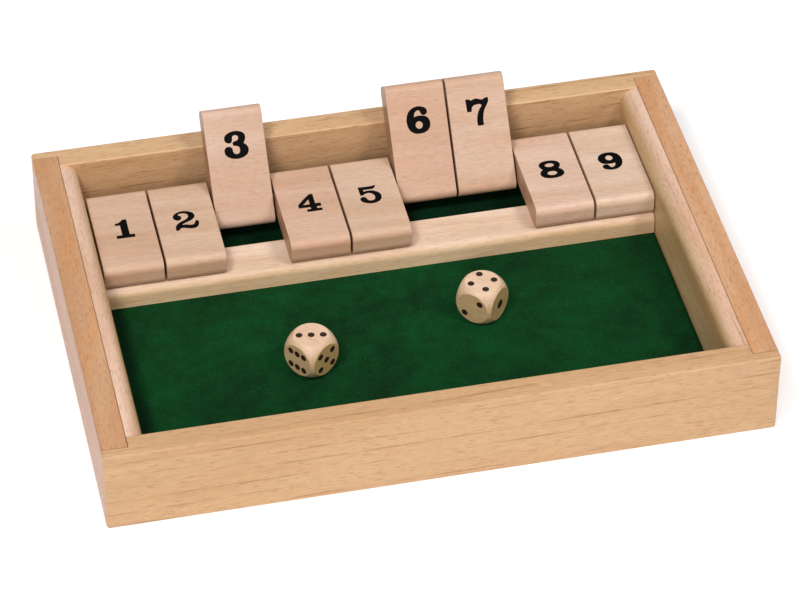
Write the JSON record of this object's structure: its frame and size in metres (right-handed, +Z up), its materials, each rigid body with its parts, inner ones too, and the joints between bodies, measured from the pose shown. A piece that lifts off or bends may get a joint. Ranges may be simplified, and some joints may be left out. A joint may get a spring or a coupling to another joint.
{
  "type": "shut the box game",
  "caption": "Shallow open beech tray with a felt floor, a row of numbered flaps that turn on a rod over a rest rail, and loose wooden dice.",
  "frame": {"origin": "centre of the tray's underside, on the table", "axes": "+X to the player's right along the row of flaps, +Y from the player's side to the flaps' side, +Z up"},
  "size_m": [0.275, 0.193, 0.0552],
  "materials": {
    "wall_beech": "clear satin lacquer on steamed beech",
    "side_beech": "clear satin lacquer on steamed beech, a little redder",
    "strip_beech": "clear satin lacquer on pale pinkish beech",
    "rail_beech": "clear satin lacquer on pale yellowish beech",
    "flap_beech": "clear satin lacquer on pale pinkish beech, grain across the flap",
    "panel_ply": "raw plywood",
    "green_felt": "short-napped dark green felt",
    "rod_steel": "bright drawn steel wire",
    "die_beech": "waxed pale beech",
    "black_paint": "matt black ink and paint of the numbers and pips"
  },
  "bodies": {
    "tray": {"front_wall": "wall_beech", "back_wall": "wall_beech", "left_wall": "side_beech", "right_wall": "side_beech", "base_panel": "panel_ply", "tray_felt": "green_felt", "left_strip": "strip_beech", "right_strip": "strip_beech", "rest_rail": "rail_beech", "pivot_rod": "rod_steel"},
    "flap_1": {"flap_1": "flap_beech"},
    "flap_2": {"flap_2": "flap_beech"},
    "flap_3": {"flap_3": "flap_beech"},
    "flap_4": {"flap_4": "flap_beech"},
    "flap_5": {"flap_5": "flap_beech"},
    "flap_6": {"flap_6": "flap_beech"},
    "flap_7": {"flap_7": "flap_beech"},
    "flap_8": {"flap_8": "flap_beech"},
    "flap_9": {"flap_9": "flap_beech"},
    "die_1": {"die_1": "die_beech"},
    "die_2": {"die_2": "die_beech"}
  },
  "joints": [
    {"name": "flap_1_hinge", "type": "hinge", "parent": "tray", "child": "flap_1", "pos_m": [-0.1051, 0.066, 0.02155], "axis": [-1, 0, 0], "range_deg": [0, 127.68]},
    {"name": "flap_2_hinge", "type": "hinge", "parent": "tray", "child": "flap_2", "pos_m": [-0.0787, 0.066, 0.02155], "axis": [-1, 0, 0], "range_deg": [0, 127.68]},
    {"name": "flap_3_hinge", "type": "hinge", "parent": "tray", "child": "flap_3", "pos_m": [-0.0523, 0.066, 0.02155], "axis": [-1, 0, 0], "range_deg": [-127.68, 0]},
    {"name": "flap_4_hinge", "type": "hinge", "parent": "tray", "child": "flap_4", "pos_m": [-0.0259, 0.066, 0.02155], "axis": [-1, 0, 0], "range_deg": [0, 127.68]},
    {"name": "flap_5_hinge", "type": "hinge", "parent": "tray", "child": "flap_5", "pos_m": [0.0005, 0.066, 0.02155], "axis": [-1, 0, 0], "range_deg": [0, 127.68]},
    {"name": "flap_6_hinge", "type": "hinge", "parent": "tray", "child": "flap_6", "pos_m": [0.0269, 0.066, 0.02155], "axis": [-1, 0, 0], "range_deg": [-127.68, 0]},
    {"name": "flap_7_hinge", "type": "hinge", "parent": "tray", "child": "flap_7", "pos_m": [0.0533, 0.066, 0.02155], "axis": [-1, 0, 0], "range_deg": [-127.68, 0]},
    {"name": "flap_8_hinge", "type": "hinge", "parent": "tray", "child": "flap_8", "pos_m": [0.0797, 0.066, 0.02155], "axis": [-1, 0, 0], "range_deg": [0, 127.68]},
    {"name": "flap_9_hinge", "type": "hinge", "parent": "tray", "child": "flap_9", "pos_m": [0.1061, 0.066, 0.02155], "axis": [-1, 0, 0], "range_deg": [0, 127.68]},
    {"name": "die_1_lift", "type": "slide", "parent": "tray", "child": "die_1", "axis": [0, 0, 1], "range_m": [0, 0.06]},
    {"name": "die_2_lift", "type": "slide", "parent": "tray", "child": "die_2", "axis": [0, 0, 1], "range_m": [0, 0.06]}
  ]
}
